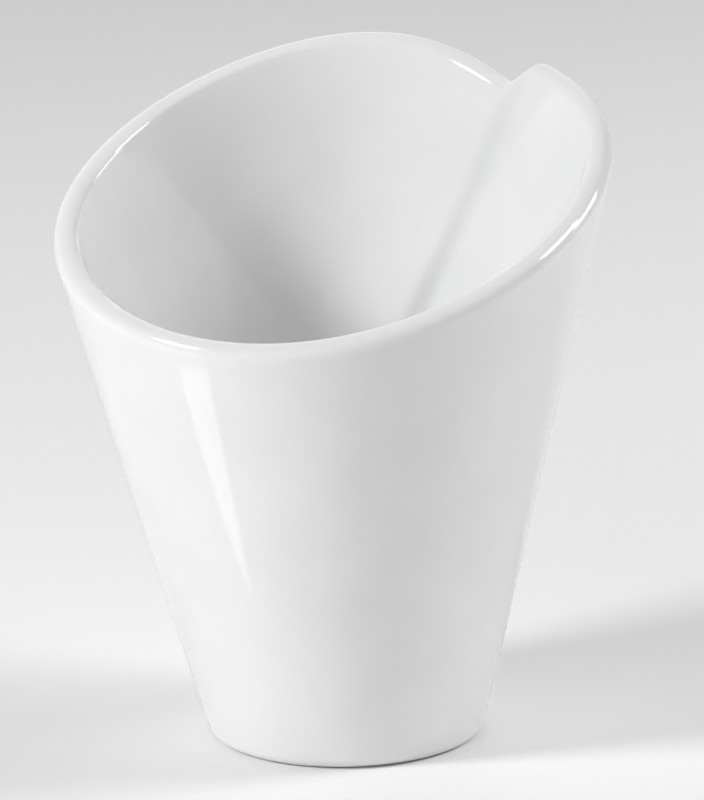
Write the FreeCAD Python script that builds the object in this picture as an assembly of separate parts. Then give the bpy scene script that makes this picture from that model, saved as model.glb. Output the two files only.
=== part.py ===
import FreeCAD, Part
import math
import os

# A cup for snacks, cast in one piece in the form of a sheet that is rolled once round into a cone.
# The sheet's two ends meet in a soft slanting step, and the rim slants from the back to the front.
# Millimetres and degrees. Z points up, the base stands on Z = 0 round the origin, and -Y is the front.

# Body of the cone
BASE_RADIUS = 25.5       # outer radius where the line of the wall meets the base plane
WALL_SLOPE = 0.254       # growth of the radius with each millimetre of height
LEAN = -0.0295           # drift of the cone's axis along X with each millimetre of height
WALL = 4.8               # thickness of the wall, square to it
FLOOR = 5.5              # thickness of the floor
FOOT_ROUND = 2.6         # radius of the outer edge at the foot
WELL_ROUND = 6.0         # radius between the inner wall and the floor

# Where the two ends of the rolled sheet meet, a straight line on the sheet when it is laid flat
SEAM_TOP = 41.6          # direction of the seam, from +X towards +Y, at the height of the crest
SEAM_TURN = 110.0        # how far round it runs from there down to the base, the same way
SEAM_STEP = 1.4          # how far the outer end stands out from the inner end
SEAM_WIDTH = 7.1         # width, square to the seam, over which the glaze rounds that step off

# Heights of the middle of the rounded rim, along one turn of the sheet from its outer end
CREST = 115.9            # at the outer end, whose rounded corner stands up
NOTCH = 110.3            # at the inner end, where the rim dips to meet that corner
RIM_HIGH = 117.9         # at the back, just before the dip
RIM_LOW = 81.9           # at the front

# The rim's way down from the crest to the low front: turns, and shares of that drop still to go
FALL_TURNS = (35, 75, 115, 150)
FALL_SHARES = (0.80, 0.46, 0.16, 0.0)

# The rim's way up from the low front to the high back: turns, and shares of that rise made so far
RISE_TURNS = (185, 220, 255, 285, 310, 330, 346)
RISE_SHARES = (0.0, 0.17, 0.48, 0.79, 0.98, 1.0, 0.91)

# How closely the surface is drawn
STEP_COLUMNS = 8         # columns across the step, on each side of its middle
STEP_MARGIN = 0.6        # reach of those columns from the middle, as a share of the seam's width
TURN_COLUMNS = 36        # columns round the rest of the turn
WALL_ROWS = 10           # rows up the wall
ROUND_ROWS = 4           # rows over each quarter of a rounding

ONE_TURN = 360.0
QUARTER = math.pi / 2

tilt = math.atan(WALL_SLOPE)
cos_tilt = math.cos(tilt)
sin_tilt = math.sin(tilt)
rim_round = WALL / 2
apex_depth = BASE_RADIUS / WALL_SLOPE


def rim_line():
    """The rim as a curve whose X is the turn and whose Y is the height."""
    turns = [0.0, *FALL_TURNS, *RISE_TURNS, ONE_TURN]
    fall = [RIM_LOW + share * (CREST - RIM_LOW) for share in FALL_SHARES]
    rise = [RIM_LOW + share * (RIM_HIGH - RIM_LOW) for share in RISE_SHARES]
    heights = [CREST, *fall, *rise, NOTCH]
    curve = Part.BSplineCurve()
    points = [FreeCAD.Vector(turn, height, 0) for turn, height in zip(turns, heights)]
    curve.interpolate(Points=points, Parameters=turns)
    return curve


RIM = rim_line()


def rim_height(turn):
    """Height of the middle of the rim, carried straight on past the two ends of the sheet."""
    inside = min(max(turn, 0.0), ONE_TURN)
    point, slope = RIM.getD1(inside)
    return point.y + slope.y * (turn - inside)


def sheet_offset(turn):
    """The rolled sheet comes inwards by one step over its turn."""
    return SEAM_STEP * (0.5 - turn / ONE_TURN)


def seam_distance():
    """How near the seam's line passes to the tip of the cone, on the flat sheet, as a height."""
    top = CREST + apex_depth
    angle = math.radians(SEAM_TURN) * sin_tilt
    length = math.sqrt(top ** 2 + apex_depth ** 2 - 2 * top * apex_depth * math.cos(angle))
    return top * apex_depth * math.sin(angle) / length


SEAM_REACH = seam_distance()


def seam_azimuth(height):
    """Direction of the seam at a height: a straight line of the flat sheet, wrapped on the cone."""
    top_angle = math.acos(SEAM_REACH / (CREST + apex_depth))
    flat_angle = top_angle - math.acos(SEAM_REACH / (height + apex_depth))
    return math.radians(SEAM_TOP) + flat_angle / sin_tilt


def seam_spread(height):
    """The turn that the seam's width takes up at a height."""
    lean_of_seam = math.asin(SEAM_REACH / (height + apex_depth))
    radius = BASE_RADIUS + WALL_SLOPE * height
    return math.degrees(SEAM_WIDTH / (radius * math.cos(lean_of_seam)))


def across_seam(value, turn):
    """A value along the sheet, eased from the inner end into the outer end over the seam's width."""
    share = turn / seam_spread(CREST) + 0.5
    if share >= 1 or share <= 0:
        return value(turn % ONE_TURN)
    ease = share ** 3 * (share * (6 * share - 15) + 10)
    return (1 - ease) * value(turn + ONE_TURN) + ease * value(turn)


def arc(radius, height, size, start, end, rows):
    """Points of an arc in the upright half plane, as pairs of radius and height."""
    angles = [start + (end - start) * row / rows for row in range(rows + 1)]
    return [(radius + size * math.cos(a), height + size * math.sin(a)) for a in angles]


def line(start, end, rows):
    """Evenly spaced points from one point to another."""
    shares = [row / rows for row in range(rows + 1)]
    return [tuple(a + (b - a) * share for a, b in zip(start, end)) for share in shares]


def section(turn):
    """The wall's outline at one turn: foot, outside, rim, inside and well, each a list of points."""
    base = BASE_RADIUS + across_seam(sheet_offset, turn)
    rim = across_seam(rim_height, turn)

    foot_radius = base + WALL_SLOPE * FOOT_ROUND * (1 - sin_tilt) - FOOT_ROUND * cos_tilt
    foot = arc(foot_radius, FOOT_ROUND, FOOT_ROUND, -QUARTER, -tilt, ROUND_ROWS)

    rim_radius = base + WALL_SLOPE * (rim - rim_round * sin_tilt) - rim_round * cos_tilt
    roll = arc(rim_radius, rim, rim_round, -tilt, math.pi - tilt, 2 * ROUND_ROWS)

    well_height = FLOOR + WELL_ROUND
    inner_radius, inner_height = roll[-1]
    inner_radius -= WALL_SLOPE * (inner_height - well_height + WELL_ROUND * sin_tilt)
    well_radius = inner_radius - WELL_ROUND * cos_tilt
    well = arc(well_radius, well_height, WELL_ROUND, -tilt, -QUARTER, ROUND_ROWS)

    outside = line(foot[-1], roll[0], WALL_ROWS)
    inside = line(roll[-1], well[0], WALL_ROWS)
    return foot, outside, roll, inside, well


def turn_at(turn, height):
    """A column's turn at a height. The columns of the step spread, so that it keeps its width."""
    edge = STEP_MARGIN * seam_spread(CREST)
    edge_here = STEP_MARGIN * seam_spread(height)
    if turn < edge:
        return turn * edge_here / edge
    return edge_here + (turn - edge) * (ONE_TURN - 2 * edge_here) / (ONE_TURN - 2 * edge)


def placed(turn, radius, height):
    """A point of the section, turned to its place on the leaning cone."""
    azimuth = seam_azimuth(height) - math.radians(turn_at(turn, height))
    x = LEAN * height + radius * math.cos(azimuth)
    return FreeCAD.Vector(x, radius * math.sin(azimuth), height)


def turn_positions():
    """Turns of the columns: even across the seam's step, then wider and wider to the far side."""
    edge = STEP_MARGIN * seam_spread(CREST)
    near = [edge * (column / STEP_COLUMNS - 1) for column in range(2 * STEP_COLUMNS)]
    shares = [(1 - math.cos(math.pi * column / TURN_COLUMNS)) / 2 for column in range(TURN_COLUMNS)]
    return near + [edge + (ONE_TURN - 2 * edge) * share for share in shares]


def row_positions(points):
    """Distance along a stretch of outline to each of its points."""
    positions = [0.0]
    for (radius, height), (next_radius, next_height) in zip(points, points[1:]):
        positions.append(positions[-1] + math.hypot(next_radius - radius, next_height - height))
    return positions


def band(turns, stretches):
    """One smooth surface through the same stretch of every section, closed round the turn."""
    around = Part.BSplineCurve()
    rings = []
    for level in zip(*stretches):
        ring = [placed(turn, *point) for turn, point in zip(turns, level)]
        around.interpolate(Points=ring, PeriodicFlag=True, Parameters=turns + [turns[0] + ONE_TURN])
        rings.append(around.getPoles())
    along = Part.BSplineCurve()
    net = []
    for column in zip(*rings):
        along.interpolate(Points=list(column), Parameters=row_positions(stretches[0]))
        net.append(along.getPoles())
    surface = Part.BSplineSurface()
    surface.buildFromPolesMultsKnots(net, around.getMultiplicities(), along.getMultiplicities(),
                                     around.getKnots(), along.getKnots(), True, False,
                                     around.Degree, along.Degree)
    return surface


def disc(surface, row):
    """The flat face inside one row of a band."""
    return Part.Face(Part.Wire(surface.vIso(row).toShape()))


def cup():
    """The bands of the wall, closed by the flat base and the flat floor of the well."""
    turns = turn_positions()
    sections = [section(turn) for turn in turns]
    bands = [band(turns, stretches) for stretches in zip(*sections)]
    foot, well = bands[0], bands[-1]
    base_row = foot.bounds()[2]
    floor_row = well.bounds()[3]
    sides = [surface.toShape() for surface in bands]
    shell = Part.makeShell(sides + [disc(foot, base_row), disc(well, floor_row)])
    shell.sewShape()
    solid = Part.Solid(shell)
    if solid.Volume < 0:
        solid.reverse()
    return solid


os.makedirs("parts", exist_ok=True)
shape = cup()
box = shape.BoundBox
print("cup: valid", shape.isValid(), "closed", shape.isClosed(), "volume cm3", round(shape.Volume / 1000, 1))
print("size", round(box.XLength, 1), round(box.YLength, 1), round(box.ZLength, 1))
shape.exportStep("parts/cup.step")
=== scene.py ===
import math

import bpy
import numpy as np
from mathutils import Matrix, Vector


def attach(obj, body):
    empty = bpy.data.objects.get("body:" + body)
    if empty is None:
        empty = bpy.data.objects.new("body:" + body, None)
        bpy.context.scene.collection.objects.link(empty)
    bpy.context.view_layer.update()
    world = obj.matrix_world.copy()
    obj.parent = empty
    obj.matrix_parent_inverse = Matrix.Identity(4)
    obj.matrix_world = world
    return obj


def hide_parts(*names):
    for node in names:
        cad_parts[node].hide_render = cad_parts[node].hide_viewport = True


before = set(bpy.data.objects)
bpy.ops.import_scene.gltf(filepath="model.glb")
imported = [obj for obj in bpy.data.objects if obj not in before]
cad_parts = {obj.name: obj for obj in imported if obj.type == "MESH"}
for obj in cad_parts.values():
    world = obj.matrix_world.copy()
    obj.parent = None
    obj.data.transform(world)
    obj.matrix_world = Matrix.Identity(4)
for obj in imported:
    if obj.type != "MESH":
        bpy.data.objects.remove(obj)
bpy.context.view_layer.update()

# The cup: slip-cast porcelain in the form of a sheet that is rolled once round into a cone. The
# sheet's two ends meet in a soft slanting seam, and the fully rounded rim slants down to the
# front. It is cast and glazed in one piece, and its underside is ground bare where it was fired on.
BASE_RADIUS = 0.0255     # outer radius where the line of the wall meets the base plane
WALL_SLOPE = 0.254       # growth of the radius over the height
LEAN = -0.0295           # drift of the cone's axis along X over the height
WALL = 0.0048            # thickness of the wall, square to it
FLOOR = 0.0055           # thickness of the floor
FOOT_ROUND = 0.0026      # radius of the outer edge at the foot
WELL_ROUND = 0.006       # radius between the inner wall and the floor

SEAM_TOP = math.radians(41.6)     # direction of the seam at the height of the crest
SEAM_TURN = math.radians(110.0)   # how far round it runs from there down to the base
SEAM_STEP = 0.0014                # how far the outer end stands out from the inner end
SEAM_WIDTH = 0.0071               # width, square to the seam, over which the glaze rounds it off

CREST = 0.1159           # middle of the rim at the sheet's outer end, a rounded corner
NOTCH = 0.1103           # at the inner end, where it dips to meet that corner
RIM_HIGH = 0.1179        # at the back, just before the dip
RIM_LOW = 0.0819         # at the front
FALL_TURNS = (35, 75, 115, 150)
FALL_SHARES = (0.80, 0.46, 0.16, 0.0)
RISE_TURNS = (185, 220, 255, 285, 310, 330, 346)
RISE_SHARES = (0.0, 0.17, 0.48, 0.79, 0.98, 1.0, 0.91)

STEP_COLUMNS = 32        # columns of faces across the seam
STEP_REACH = 0.6         # how far they reach on each side, as a share of the seam's width
TURN_COLUMNS = 260       # columns round the rest of the turn
ROW_HEIGHT = 0.0025      # longest face up the wall
ROUND_ROWS = 10          # faces over each rounded corner of the section
WELD = 0.000002          # points nearer than this are made one
BARE_DEPTH = 0.0003      # height up to which the foot is ground bare of glaze

GLAZE_TONE = (0.87, 0.87, 0.868, 1)
GLAZE_TONE_DARKER = (0.84, 0.843, 0.85, 1)
GLAZE_SPECK = (0.52, 0.49, 0.45, 1)
GLAZE_SPECK_SHOWS = 0.35          # share of the speck's colour that the glaze lets through
GLAZE_ROUGHNESS = (0.05, 0.09)    # from the smoothest places to the dullest
GLAZE_HAZE = 0.03                 # roughness that the fine grain adds
GLAZE_WAVE = 0.00003              # height of the broad unevenness
GLAZE_RIPPLE = 0.0000012          # height of the fine grain
GLAZE_PIT = 0.00002               # depth of a speck
GLAZE_IOR = 1.5
GLAZE_GLOW = 0.15                 # share of the light that passes into the body and out again
GLAZE_GLOW_DEPTH = (0.0012, 0.0011, 0.001)
GLAZE_GRAIN = {"Broad Size": 0.014, "Fine Size": 0.0011,
               "Speck Spacing": 0.011, "Speck Size": 0.00022}

CLAY_TONE = (0.78, 0.77, 0.75, 1)
CLAY_TONE_DARKER = (0.70, 0.685, 0.66, 1)
CLAY_SPECK = (0.38, 0.34, 0.29, 1)
CLAY_SPECK_SHOWS = 0.6
CLAY_ROUGHNESS = (0.55, 0.75)
CLAY_RIPPLE = 0.00003             # height of the fine grain
CLAY_GRAIN = {"Broad Size": 0.006, "Fine Size": 0.00035,
              "Speck Spacing": 0.003, "Speck Size": 0.0002}

one_turn = 2 * math.pi
tilt = math.atan(WALL_SLOPE)
apex_depth = BASE_RADIUS / WALL_SLOPE


def seam_reach():
    """How near the seam, a straight line on the flat sheet, passes to the tip of the cone."""
    top = CREST + apex_depth
    angle = SEAM_TURN * math.sin(tilt)
    length = math.sqrt(top ** 2 + apex_depth ** 2 - 2 * top * apex_depth * math.cos(angle))
    return top * apex_depth * math.sin(angle) / length


def rim_slopes(turns, heights):
    """Slope of the smooth line through the rim's stated points, at each of them."""
    gaps = np.diff(turns)
    rises = np.diff(heights) / gaps
    system = np.eye(len(turns))
    answer = np.zeros(len(turns))
    answer[0] = rises[0] + (rises[0] - rises[1]) * gaps[0] / (gaps[0] + gaps[1])
    answer[-1] = rises[-1] + (rises[-1] - rises[-2]) * gaps[-1] / (gaps[-1] + gaps[-2])
    for knot in range(1, len(turns) - 1):
        before, after = 1 / gaps[knot - 1], 1 / gaps[knot]
        system[knot, knot - 1:knot + 2] = before, 2 * (before + after), after
        answer[knot] = 3 * (rises[knot - 1] * before + rises[knot] * after)
    return np.linalg.solve(system, answer)


def rim_heights(turns):
    """Height of the middle of the rim at each turn, carried straight on past the sheet's ends."""
    fall = [RIM_LOW + share * (CREST - RIM_LOW) for share in FALL_SHARES]
    rise = [RIM_LOW + share * (RIM_HIGH - RIM_LOW) for share in RISE_SHARES]
    knots = np.radians([0, *FALL_TURNS, *RISE_TURNS, 360])
    heights = np.array([CREST, *fall, *rise, NOTCH])
    slopes = rim_slopes(knots, heights)
    inside = np.clip(turns, 0, one_turn)
    low = np.clip(np.searchsorted(knots, inside, side="right") - 1, 0, len(knots) - 2)
    gap = knots[low + 1] - knots[low]
    share = (inside - knots[low]) / gap
    ease = share ** 2 * (3 - 2 * share)
    bend = slopes[low] * (1 - share) - slopes[low + 1] * share
    height = heights[low] * (1 - ease) + heights[low + 1] * ease + gap * share * (1 - share) * bend
    end_slope = np.where(turns < 0, slopes[0], slopes[-1])
    return height + end_slope * (turns - inside)


def sheet_offsets(turns):
    """The rolled sheet comes inwards by one step over its turn."""
    return SEAM_STEP * (0.5 - turns / one_turn)


def across_seam(values, turns, spread):
    """Values along the sheet, eased from its inner end into its outer end over the seam's width."""
    share = np.clip(turns / spread + 0.5, 0, 1)
    ease = share ** 3 * (share * (6 * share - 15) + 10)
    outer_end = values(turns)
    inner_end = values(turns + np.where(share < 1, one_turn, 0))
    return inner_end * (1 - ease) + outer_end * ease


def rim_line():
    """The sheet's upper edge laid flat: X is the turn, Y the height, Z the offset of the sheet."""
    reach = seam_reach()
    radius = BASE_RADIUS + WALL_SLOPE * CREST
    spread = SEAM_WIDTH / (radius * math.cos(math.asin(reach / (CREST + apex_depth))))
    edge = STEP_REACH * spread
    near = np.linspace(-edge, edge, STEP_COLUMNS, endpoint=False)
    shares = (1 - np.cos(np.linspace(0, math.pi, TURN_COLUMNS + 1))) / 2
    turns = np.concatenate([near, edge + (one_turn - 2 * edge) * shares])
    wrapped = np.where(turns > one_turn - edge + 1e-9, turns - one_turn, turns)
    heights = across_seam(rim_heights, wrapped, spread)
    offsets = across_seam(sheet_offsets, wrapped, spread)
    mesh = bpy.data.meshes.new("rim_line")
    points = np.column_stack([turns, heights, offsets])
    mesh.from_pydata(points.tolist(), [(i, i + 1) for i in range(len(points) - 1)], [])
    return mesh


def add_node(tree, kind, **settings):
    """A node with its settings, and its inputs set or linked by name or number under 'inputs'."""
    inputs = settings.pop("inputs", {})
    node = tree.nodes.new(kind)
    for name, value in settings.items():
        setattr(node, name, value)
    for name, value in inputs.items():
        if isinstance(value, bpy.types.NodeSocket):
            tree.links.new(value, node.inputs[name])
        else:
            node.inputs[name].default_value = value
    return node


def sum_of(tree, operation, *values):
    """The result of one step of arithmetic in a tree."""
    inputs = dict(enumerate(values))
    return add_node(tree, "ShaderNodeMath", operation=operation, inputs=inputs).outputs[0]


def point_at(tree, *values):
    """A point from its three values."""
    return add_node(tree, "ShaderNodeCombineXYZ", inputs=dict(enumerate(values))).outputs[0]


def chosen(tree, kind, index, values):
    """The value out of a row of them that an index names."""
    node = add_node(tree, "GeometryNodeIndexSwitch", data_type=kind, inputs={"Index": index})
    for _ in values[2:]:
        node.index_switch_items.new()
    for number, value in enumerate(values):
        if isinstance(value, bpy.types.NodeSocket):
            tree.links.new(value, node.inputs[number + 1])
        else:
            node.inputs[number + 1].default_value = value
    return node.outputs[0]


def cup_tree(sizes, materials):
    """Draws the section of the wall, and carries it along the rim line round the leaning cone."""
    tree = bpy.data.node_groups.new("rolled_cone_cup", "GeometryNodeTree")
    tree.is_modifier = True
    tree.interface.new_socket("Rim Line", in_out="INPUT", socket_type="NodeSocketGeometry")
    for name, value in sizes.items():
        kind = "NodeSocketInt" if isinstance(value, int) else "NodeSocketFloat"
        tree.interface.new_socket(name, in_out="INPUT", socket_type=kind)
    for name in materials:
        tree.interface.new_socket(name, in_out="INPUT", socket_type="NodeSocketMaterial")
    tree.interface.new_socket("Cup", in_out="OUTPUT", socket_type="NodeSocketGeometry")
    given = tree.nodes.new("NodeGroupInput").outputs

    def calc(operation, *values):
        return sum_of(tree, operation, *values)

    def split(vector):
        return add_node(tree, "ShaderNodeSeparateXYZ", inputs={0: vector}).outputs

    def counted(operation, *values):
        node = add_node(tree, "FunctionNodeIntegerMath", operation=operation,
                        inputs=dict(enumerate(values)))
        return node.outputs[0]

    # The section, drawn at the height of the rim's lowest place: a sharp outline, then rounded.
    slope = given["Wall Slope"]
    cosine = calc("COSINE", calc("ARCTANGENT", slope))
    sine = calc("SINE", calc("ARCTANGENT", slope))
    roll = calc("DIVIDE", given["Wall"], 2)
    drawn = given["Rim Low"]
    tangent = calc("SUBTRACT", drawn, calc("MULTIPLY", roll, sine))
    outer_radius = calc("MULTIPLY_ADD", slope, tangent, given["Base Radius"])
    outer_corner_radius = calc("MULTIPLY_ADD", roll, sine, outer_radius)
    outer_corner_height = calc("MULTIPLY_ADD", roll, cosine, tangent)
    inner_corner_radius = calc("SUBTRACT", outer_corner_radius, calc("MULTIPLY", given["Wall"], cosine))
    inner_corner_height = calc("MULTIPLY_ADD", given["Wall"], sine, outer_corner_height)
    wall_across = calc("DIVIDE", given["Wall"], cosine)
    floor_radius = calc("SUBTRACT", calc("MULTIPLY_ADD", slope, given["Floor"], given["Base Radius"]),
                        wall_across)
    corners = [
        point_at(tree, 0.0, 0.0, 0.0),
        point_at(tree, given["Base Radius"], 0.0, 0.0),
        point_at(tree, outer_corner_radius, 0.0, outer_corner_height),
        point_at(tree, inner_corner_radius, 0.0, inner_corner_height),
        point_at(tree, floor_radius, 0.0, given["Floor"]),
        point_at(tree, 0.0, 0.0, given["Floor"]),
    ]
    rounds = [0.0, given["Foot Round"], roll, roll, given["Well Round"], 0.0]
    index = tree.nodes.new("GeometryNodeInputIndex").outputs[0]
    outline = add_node(tree, "GeometryNodeMeshLine", inputs={"Count": len(corners)}).outputs[0]
    outline = add_node(tree, "GeometryNodeSetPosition", inputs={
        "Geometry": outline, "Position": chosen(tree, "VECTOR", index, corners)}).outputs[0]
    outline = add_node(tree, "GeometryNodeMeshToCurve", inputs={0: outline}).outputs[0]
    section = add_node(tree, "GeometryNodeFilletCurve", mode="POLY", inputs={
        "Curve": outline, "Count": given["Round Rows"], "Limit Radius": True,
        "Radius": chosen(tree, "FLOAT", index, rounds)}).outputs[0]

    # Long runs of the section are cut into rows.
    position = tree.nodes.new("GeometryNodeInputPosition").outputs[0]
    following = counted("ADD", index, 1)
    next_point = add_node(tree, "GeometryNodeSampleIndex", data_type="FLOAT_VECTOR", clamp=True,
                          inputs={"Geometry": section, "Value": position, "Index": following}).outputs[0]
    run = add_node(tree, "ShaderNodeVectorMath", operation="DISTANCE",
                   inputs={0: position, 1: next_point}).outputs["Value"]
    cuts = calc("FLOOR", calc("DIVIDE", run, given["Row Height"]))
    section = add_node(tree, "GeometryNodeSubdivideCurve", inputs={0: section, "Cuts": cuts}).outputs[0]

    # A grid with one column for each point of the rim line, and one row for each of the section.
    columns = add_node(tree, "GeometryNodeAttributeDomainSize", component="MESH",
                       inputs={0: given["Rim Line"]}).outputs["Point Count"]
    rows = add_node(tree, "GeometryNodeAttributeDomainSize", component="CURVE",
                    inputs={0: section}).outputs["Point Count"]
    grid = add_node(tree, "GeometryNodeMeshGrid",
                    inputs={"Vertices X": columns, "Vertices Y": rows}).outputs[0]
    column = counted("DIVIDE_FLOOR", index, rows)
    row = counted("MODULO", index, rows)
    rim_point = add_node(tree, "GeometryNodeSampleIndex", data_type="FLOAT_VECTOR", inputs={
        "Geometry": given["Rim Line"], "Value": position, "Index": column}).outputs[0]
    section_point = add_node(tree, "GeometryNodeSampleIndex", data_type="FLOAT_VECTOR", inputs={
        "Geometry": section, "Value": position, "Index": row}).outputs[0]
    turn, rim, offset = split(rim_point)
    drawn_radius, _, drawn_height = split(section_point)

    # Each column's wall is drawn out along its own slope, up to the rim's height there.
    well_top = calc("ADD", given["Floor"], given["Well Round"])
    share = add_node(tree, "ShaderNodeMapRange", clamp=True, inputs={
        "Value": drawn_height, "From Min": well_top, "From Max": tangent}).outputs[0]
    drawn_out = calc("MULTIPLY", calc("SUBTRACT", rim, drawn), share)
    height = calc("ADD", drawn_height, drawn_out)
    near_middle = calc("MINIMUM", calc("DIVIDE", drawn_radius, given["Well Round"]), 1.0)
    radius = calc("ADD", calc("MULTIPLY_ADD", drawn_out, slope, drawn_radius),
                  calc("MULTIPLY", offset, near_middle))

    # The seam's direction at each height, from the straight line that it is on the flat sheet.
    depth = calc("DIVIDE", given["Base Radius"], slope)

    def flat_angle(level):
        return calc("ARCCOSINE", calc("DIVIDE", given["Seam Reach"], calc("ADD", level, depth)))

    def half_seam(level):
        lean_of_seam = calc("ARCSINE", calc("DIVIDE", given["Seam Reach"], calc("ADD", level, depth)))
        level_radius = calc("MULTIPLY_ADD", slope, level, given["Base Radius"])
        across = calc("MULTIPLY", level_radius, calc("COSINE", lean_of_seam))
        return calc("DIVIDE", calc("MULTIPLY", given["Seam Width"], given["Step Reach"]), across)

    turned = calc("SUBTRACT", flat_angle(given["Crest"]), flat_angle(height))
    seam = calc("ADD", given["Seam Top"], calc("DIVIDE", turned, sine))

    # The columns of the step spread downwards, so that it keeps its width, and the rest make room.
    edge = half_seam(given["Crest"])
    edge_here = half_seam(height)
    in_step = calc("MULTIPLY", calc("MINIMUM", turn, edge), calc("DIVIDE", edge_here, edge))
    rest = calc("MULTIPLY_ADD", edge, -2.0, one_turn)
    rest_here = calc("MULTIPLY_ADD", edge_here, -2.0, one_turn)
    past_step = calc("MULTIPLY", calc("MAXIMUM", calc("SUBTRACT", turn, edge), 0.0),
                     calc("DIVIDE", rest_here, rest))
    azimuth = calc("SUBTRACT", seam, calc("ADD", in_step, past_step))
    x = calc("MULTIPLY_ADD", radius, calc("COSINE", azimuth), calc("MULTIPLY", height, given["Lean"]))
    y = calc("MULTIPLY", radius, calc("SINE", azimuth))
    skin = add_node(tree, "GeometryNodeSetPosition", inputs={
        "Geometry": grid, "Position": point_at(tree, x, y, height)}).outputs[0]

    # The turn is closed and each disc drawn to its middle point.
    skin = add_node(tree, "GeometryNodeMergeByDistance",
                    inputs={"Geometry": skin, "Distance": given["Weld"]}).outputs[0]
    skin = add_node(tree, "GeometryNodeFlipFaces", inputs={"Mesh": skin}).outputs[0]
    skin = add_node(tree, "GeometryNodeSetShadeSmooth", inputs={"Geometry": skin}).outputs[0]
    skin = add_node(tree, "GeometryNodeRealizeInstances", inputs={"Geometry": skin}).outputs[0]
    skin = add_node(tree, "GeometryNodeSetMaterial",
                    inputs={"Geometry": skin, "Material": given["Glaze"]}).outputs[0]
    level = split(position)[2]
    bare = add_node(tree, "FunctionNodeCompare", operation="LESS_THAN",
                    inputs={0: level, 1: given["Bare Depth"]}).outputs[0]
    skin = add_node(tree, "GeometryNodeSetMaterial", inputs={
        "Geometry": skin, "Selection": bare, "Material": given["Bare Foot"]}).outputs[0]
    out = tree.nodes.new("NodeGroupOutput")
    tree.links.new(skin, out.inputs[0])
    return tree


def fired_grain():
    """Group for fired clay: broad and fine unevenness, and rare small specks, at their real size."""
    group = bpy.data.node_groups.new("fired_grain", "ShaderNodeTree")
    for name in ("Broad Size", "Fine Size", "Speck Spacing", "Speck Size"):
        group.interface.new_socket(name, in_out="INPUT", socket_type="NodeSocketFloat")
    for name in ("Broad", "Fine", "Specks"):
        group.interface.new_socket(name, in_out="OUTPUT", socket_type="NodeSocketFloat")
    given = group.nodes.new("NodeGroupInput").outputs
    out = group.nodes.new("NodeGroupOutput")
    place = group.nodes.new("ShaderNodeTexCoord").outputs["Object"]
    for name, detail in (("Broad", 2.0), ("Fine", 3.0)):
        scale = sum_of(group, "DIVIDE", 1.0, given[name + " Size"])
        noise = add_node(group, "ShaderNodeTexNoise", inputs={
            "Vector": place, "Scale": scale, "Detail": detail, "Roughness": 0.45})
        group.links.new(noise.outputs[0], out.inputs[name])
    scale = sum_of(group, "DIVIDE", 1.0, given["Speck Spacing"])
    cells = add_node(group, "ShaderNodeTexVoronoi", inputs={"Vector": place, "Scale": scale})
    lot = add_node(group, "ShaderNodeSeparateColor", inputs={0: cells.outputs["Color"]}).outputs[0]
    size = sum_of(group, "MULTIPLY", sum_of(group, "DIVIDE", given["Speck Size"],
                                            given["Speck Spacing"]), lot)
    speck = add_node(group, "ShaderNodeMapRange", interpolation_type="SMOOTHSTEP", inputs={
        "Value": cells.outputs["Distance"], "From Min": size,
        "From Max": sum_of(group, "MULTIPLY", size, 0.4)}).outputs[0]
    group.links.new(speck, out.inputs["Specks"])
    return group


def tinted(tree, first, second, mask):
    """One colour turned into another by a mask."""
    node = add_node(tree, "ShaderNodeMix", data_type="RGBA")
    for number, value in ((6, first), (7, second), (0, mask)):
        if isinstance(value, bpy.types.NodeSocket):
            tree.links.new(value, node.inputs[number])
        else:
            node.inputs[number].default_value = value
    return node.outputs[2]


def fitted(tree, value, low, high):
    """A mask stretched from its usual middle range to a range of values."""
    return add_node(tree, "ShaderNodeMapRange", inputs={
        "Value": value, "From Min": 0.3, "From Max": 0.7, "To Min": low, "To Max": high}).outputs[0]


grain = fired_grain()

glaze = bpy.data.materials.new("porcelain_glaze")
glaze.use_nodes = True
nodes = glaze.node_tree
shader = nodes.nodes["Principled BSDF"]
marks = add_node(nodes, "ShaderNodeGroup", node_tree=grain, inputs=GLAZE_GRAIN)
body_tone = tinted(nodes, GLAZE_TONE_DARKER, GLAZE_TONE,
                   fitted(nodes, marks.outputs["Broad"], 0.0, 1.0))
speck_tone = tinted(nodes, body_tone, GLAZE_SPECK,
                    sum_of(nodes, "MULTIPLY", marks.outputs["Specks"], GLAZE_SPECK_SHOWS))
nodes.links.new(speck_tone, shader.inputs["Base Color"])
gloss = sum_of(nodes, "ADD", fitted(nodes, marks.outputs["Broad"], *GLAZE_ROUGHNESS),
               sum_of(nodes, "MULTIPLY", marks.outputs["Fine"], GLAZE_HAZE))
nodes.links.new(gloss, shader.inputs["Roughness"])
uneven = sum_of(nodes, "ADD", sum_of(nodes, "MULTIPLY", marks.outputs["Broad"], GLAZE_WAVE),
                sum_of(nodes, "MULTIPLY", marks.outputs["Fine"], GLAZE_RIPPLE))
pitted = sum_of(nodes, "SUBTRACT", uneven,
                sum_of(nodes, "MULTIPLY", marks.outputs["Specks"], GLAZE_PIT))
bump = add_node(nodes, "ShaderNodeBump", inputs={"Height": pitted, "Distance": 1.0, "Strength": 1.0})
nodes.links.new(bump.outputs[0], shader.inputs["Normal"])
shader.inputs["IOR"].default_value = GLAZE_IOR
shader.inputs["Subsurface Weight"].default_value = GLAZE_GLOW
shader.inputs["Subsurface Radius"].default_value = GLAZE_GLOW_DEPTH
shader.inputs["Subsurface Scale"].default_value = 1.0

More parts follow.
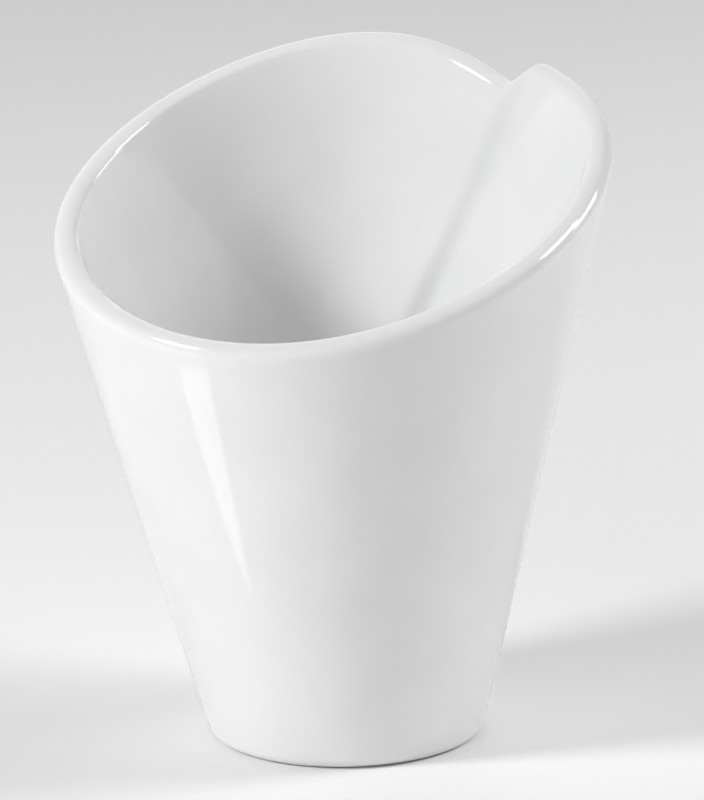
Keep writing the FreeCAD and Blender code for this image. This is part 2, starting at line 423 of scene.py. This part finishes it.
bare_foot = bpy.data.materials.new("bare_porcelain_foot")
bare_foot.use_nodes = True
nodes = bare_foot.node_tree
shader = nodes.nodes["Principled BSDF"]
marks = add_node(nodes, "ShaderNodeGroup", node_tree=grain, inputs=CLAY_GRAIN)
clay_tone = tinted(nodes, CLAY_TONE_DARKER, CLAY_TONE,
                   fitted(nodes, marks.outputs["Broad"], 0.0, 1.0))
speck_tone = tinted(nodes, clay_tone, CLAY_SPECK,
                    sum_of(nodes, "MULTIPLY", marks.outputs["Specks"], CLAY_SPECK_SHOWS))
nodes.links.new(speck_tone, shader.inputs["Base Color"])
nodes.links.new(fitted(nodes, marks.outputs["Fine"], *CLAY_ROUGHNESS), shader.inputs["Roughness"])
rough = sum_of(nodes, "MULTIPLY", marks.outputs["Fine"], CLAY_RIPPLE)
bump = add_node(nodes, "ShaderNodeBump", inputs={"Height": rough, "Distance": 1.0, "Strength": 1.0})
nodes.links.new(bump.outputs[0], shader.inputs["Normal"])

cup_sizes = {
    "Base Radius": BASE_RADIUS, "Wall Slope": WALL_SLOPE, "Lean": LEAN, "Wall": WALL,
    "Floor": FLOOR, "Foot Round": FOOT_ROUND, "Well Round": WELL_ROUND, "Rim Low": RIM_LOW,
    "Crest": CREST, "Seam Top": SEAM_TOP, "Seam Reach": seam_reach(), "Seam Width": SEAM_WIDTH,
    "Step Reach": STEP_REACH, "Row Height": ROW_HEIGHT, "Round Rows": ROUND_ROWS, "Weld": WELD,
    "Bare Depth": BARE_DEPTH,
}
cup_materials = {"Glaze": glaze, "Bare Foot": bare_foot}
cup = bpy.data.objects.new("cup_body", rim_line())
bpy.context.scene.collection.objects.link(cup)
rolling = cup.modifiers.new("rolled_cone_cup", "NODES")
rolling.node_group = cup_tree(cup_sizes, cup_materials)
sockets = {item.name: item.identifier for item in rolling.node_group.interface.items_tree}
for name, value in {**cup_sizes, **cup_materials}.items():
    rolling[sockets[name]] = value
evaluated = cup.evaluated_get(bpy.context.evaluated_depsgraph_get())
rolled = bpy.data.meshes.new_from_object(evaluated)
rolled.name = "cup_body"
rolled.materials.pop(index=0)
cup.modifiers.remove(rolling)
cup.data = rolled
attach(cup, "root")
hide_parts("cup")

# The studio floor: a wide sheet of smooth pale card, which the cup stands on.
FLOOR_HALF = 4.0
FLOOR_TONE = (0.93, 0.93, 0.93, 1)
FLOOR_TONE_DARKER = (0.91, 0.91, 0.91, 1)
FLOOR_ROUGHNESS = 0.6
FIBRES_PER_METRE = 900.0

card = bpy.data.materials.new("pale_card")
card.use_nodes = True
nodes = card.node_tree
shader = nodes.nodes["Principled BSDF"]
place = nodes.nodes.new("ShaderNodeTexCoord").outputs["Object"]
fibre = add_node(nodes, "ShaderNodeTexNoise", inputs={"Vector": place, "Scale": FIBRES_PER_METRE, "Detail": 2.0})
tone = tinted(nodes, FLOOR_TONE_DARKER, FLOOR_TONE, fibre.outputs[0])
nodes.links.new(tone, shader.inputs["Base Color"])
shader.inputs["Roughness"].default_value = FLOOR_ROUGHNESS
mesh = bpy.data.meshes.new("studio_floor")
corners = [(-FLOOR_HALF, -FLOOR_HALF, 0), (FLOOR_HALF, -FLOOR_HALF, 0),
           (FLOOR_HALF, FLOOR_HALF, 0), (-FLOOR_HALF, FLOOR_HALF, 0)]
mesh.from_pydata(corners, [], [(0, 1, 2, 3)])
mesh.materials.append(card)
studio_floor = bpy.data.objects.new("studio_floor", mesh)
bpy.context.scene.collection.objects.link(studio_floor)

# The lights: a small soft box at the left, whose shadow falls softly into the cup, two more at the
# right, each a lamp behind white cloth, and the pale walls of the room, brighter on four sides.
BOX_DISTANCE = 1.3
BOX_AIM = Vector((0.0, 0.0, 0.06))
ROOM_SEEN = 0.85         # how bright the room is where it is seen past the floor

# The brighter sides of the room: bearing and elevation in degrees, and brightness
ROOM_SIDES = ((-30, 20, 1.27), (90, 55, 0.61), (-145, 25, 0.55), (180, 12, 1.07))
ROOM_FALLOFF = 7.0       # how fast a side fades away from its middle


def way_to(bearing, elevation):
    """A direction in the room. The bearing runs from the front to the right."""
    level = math.cos(math.radians(elevation))
    return Vector((math.sin(math.radians(bearing)) * level,
                   -math.cos(math.radians(bearing)) * level,
                   math.sin(math.radians(elevation))))


def soft_box(name, bearing, elevation, size, power):
    """A square soft box that faces the cup."""
    light = bpy.data.lights.new(name, "AREA")
    light.shape = "SQUARE"
    light.size = size
    light.energy = power
    towards = way_to(bearing, elevation)
    box = bpy.data.objects.new(name, light)
    box.location = BOX_AIM + BOX_DISTANCE * towards
    box.rotation_euler = (-towards).to_track_quat("-Z", "Y").to_euler()
    bpy.context.scene.collection.objects.link(box)


soft_box("left_box", -68, 32, 0.28, 9.8)
soft_box("right_box", 90, 38, 0.4, 5.6)
soft_box("low_right_box", 108, 25, 0.4, 2.8)

room = bpy.data.worlds.new("pale_room")
room.use_nodes = True
nodes = room.node_tree
backdrop = nodes.nodes["Background"]
backdrop.inputs["Color"].default_value = (1, 1, 1, 1)
place = nodes.nodes.new("ShaderNodeTexCoord").outputs["Generated"]
glow = 0.0
for bearing, elevation, brightness in ROOM_SIDES:
    facing = add_node(nodes, "ShaderNodeVectorMath", operation="DOT_PRODUCT", inputs={
        0: place, 1: way_to(bearing, elevation)}).outputs["Value"]
    spot = sum_of(nodes, "POWER", sum_of(nodes, "MAXIMUM", facing, 0.0), ROOM_FALLOFF)
    glow = sum_of(nodes, "ADD", sum_of(nodes, "MULTIPLY", spot, brightness), glow)
seen = nodes.nodes.new("ShaderNodeLightPath").outputs["Is Camera Ray"]
strength = add_node(nodes, "ShaderNodeMapRange", inputs={
    "Value": seen, "To Min": glow, "To Max": ROOM_SEEN})
nodes.links.new(strength.outputs[0], backdrop.inputs["Strength"])
bpy.context.scene.world = room
bpy.context.scene.view_settings.view_transform = "Standard"

# The light slot: a lit wedge of the table beside the cup, out of the picture, whose reflection is
# the bright strip down the front left of the wall.
SLOT_CORNERS = ((-0.049, -0.047), (-0.110, -0.082), (-0.132, -0.053))
SLOT_LEVEL = 0.0003
SLOT_STRENGTH = 1.8

slot_glow = bpy.data.materials.new("slot_glow")
slot_glow.use_nodes = True
nodes = slot_glow.node_tree
nodes.nodes["Principled BSDF"].inputs["Emission Color"].default_value = (1, 1, 1, 1)
nodes.nodes["Principled BSDF"].inputs["Emission Strength"].default_value = SLOT_STRENGTH
mesh = bpy.data.meshes.new("light_slot")
mesh.from_pydata([(*corner, SLOT_LEVEL) for corner in SLOT_CORNERS], [], [(0, 1, 2)])
mesh.materials.append(slot_glow)
light_slot = bpy.data.objects.new("light_slot", mesh)
light_slot.visible_camera = False
light_slot.visible_diffuse = False
light_slot.visible_shadow = False
bpy.context.scene.collection.objects.link(light_slot)

# The camera: a long lens from the front and slightly above.
CAMERA_DISTANCE = 1.0
CAMERA_ELEVATION = math.radians(14.5)
CAMERA_ROLL = math.radians(-0.9259)
CAMERA_LENS = 247.15
CAMERA_TARGET = Vector((0.0022477, 0.0, 0.0623776))

forward = Vector((0, math.cos(CAMERA_ELEVATION), -math.sin(CAMERA_ELEVATION)))
upright = Vector((0, math.sin(CAMERA_ELEVATION), math.cos(CAMERA_ELEVATION)))
sideways = Vector((1, 0, 0))
right = math.cos(CAMERA_ROLL) * sideways + math.sin(CAMERA_ROLL) * upright
up = math.cos(CAMERA_ROLL) * upright - math.sin(CAMERA_ROLL) * sideways
lens = bpy.data.cameras.new("camera")
lens.lens = CAMERA_LENS
lens.clip_start = 0.01
camera = bpy.data.objects.new("camera", lens)
turned = Matrix((right, up, -forward)).transposed().to_4x4()
camera.matrix_world = Matrix.Translation(CAMERA_TARGET - CAMERA_DISTANCE * forward) @ turned
bpy.context.scene.collection.objects.link(camera)
bpy.context.scene.camera = camera
